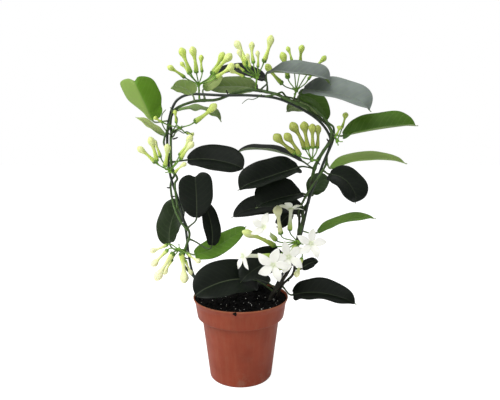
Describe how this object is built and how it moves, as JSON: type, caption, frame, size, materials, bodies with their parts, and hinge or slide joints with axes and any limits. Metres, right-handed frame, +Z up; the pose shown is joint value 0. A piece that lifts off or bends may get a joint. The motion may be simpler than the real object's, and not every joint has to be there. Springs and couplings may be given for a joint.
{
  "type": "potted madagascar jasmine",
  "caption": "Madagascar jasmine trained round a wire hoop in a tapered nursery pot, with thick oval leaves, clusters of buds and white star flowers.",
  "frame": {"origin": "on the pot's axis at its underside, where it stands", "axes": "+Z up along the pot's axis, +X to the right in the plane of the hoop, -Y towards the front"},
  "size_m": [0.3478, 0.1309, 0.422],
  "materials": {
    "terracotta_plastic": "moulded polypropylene coloured like terracotta, satin with a dulled lip",
    "potting_mix": "dark crumbly peat mix with pale grit",
    "wire_coating": "dark green plastic coating on steel wire, satin",
    "stem_bark": "thin brown bark on the old wood, smooth green skin on the young",
    "leaf_mature": "thick waxy leaf, glossy dark green above and matt below",
    "leaf_young": "young leaf, paler and yellower green with a satin surface",
    "bud_skin": "waxy yellow-green buds on green stalks",
    "petal_wax": "thick waxy white petals"
  },
  "bodies": {
    "root": {"buds_crown_left": "bud_skin", "buds_crown_middle": "bud_skin", "buds_crown_right": "bud_skin", "buds_left_hanging": "bud_skin", "buds_left_middle": "bud_skin", "buds_left_upper": "bud_skin", "buds_right_small": "bud_skin", "buds_right_upper": "bud_skin", "flower_cluster_stalk": "bud_skin", "hanging_bud": "petal_wax", "hoop_wire": "wire_coating", "leaf_base_back": "leaf_mature", "leaf_base_front": "leaf_mature", "leaf_base_large": "leaf_mature", "leaf_base_right": "leaf_mature", "leaf_crown_back": "leaf_mature", "leaf_crown_left_outer": "leaf_young", "leaf_crown_left_upright": "leaf_young", "leaf_crown_left_wavy": "leaf_young", "leaf_crown_middle": "leaf_young", "leaf_crown_right": "leaf_mature", "leaf_far_right_low": "leaf_young", "leaf_far_right_middle": "leaf_young", "leaf_far_right_top": "leaf_young", "leaf_left_behind": "leaf_mature", "leaf_left_heart": "leaf_mature", "leaf_left_low_inner": "leaf_young", "leaf_left_outer": "leaf_mature", "leaf_right_back": "leaf_mature", "leaf_right_inner_back": "leaf_mature", "leaf_right_inner_dome": "leaf_mature", "leaf_right_inner_small": "leaf_mature", "leaf_right_inner_top": "leaf_mature", "leaf_right_inner_upper": "leaf_mature", "leaf_right_outer": "leaf_mature", "leaf_shoulder_left_back": "leaf_young", "leaf_shoulder_left_large": "leaf_young", "leaf_shoulder_right": "leaf_mature", "leaf_shoulder_right_arched": "leaf_mature", "leaf_shoulder_right_twin": "leaf_mature", "leaf_tiny_low": "leaf_mature", "leaf_upper_left_inner": "leaf_mature", "long_bud": "petal_wax", "opening_bud": "petal_wax", "pot": "terracotta_plastic", "potting_mix": "potting_mix", "star_flower_far_left": "petal_wax", "star_flower_front": "petal_wax", "star_flower_lower": "petal_wax", "star_flower_right": "petal_wax", "star_flower_top": "petal_wax", "star_flower_top_left": "petal_wax", "vine_left": "stem_bark", "vine_main": "stem_bark", "vine_second": "stem_bark"}
  },
  "joints": []
}
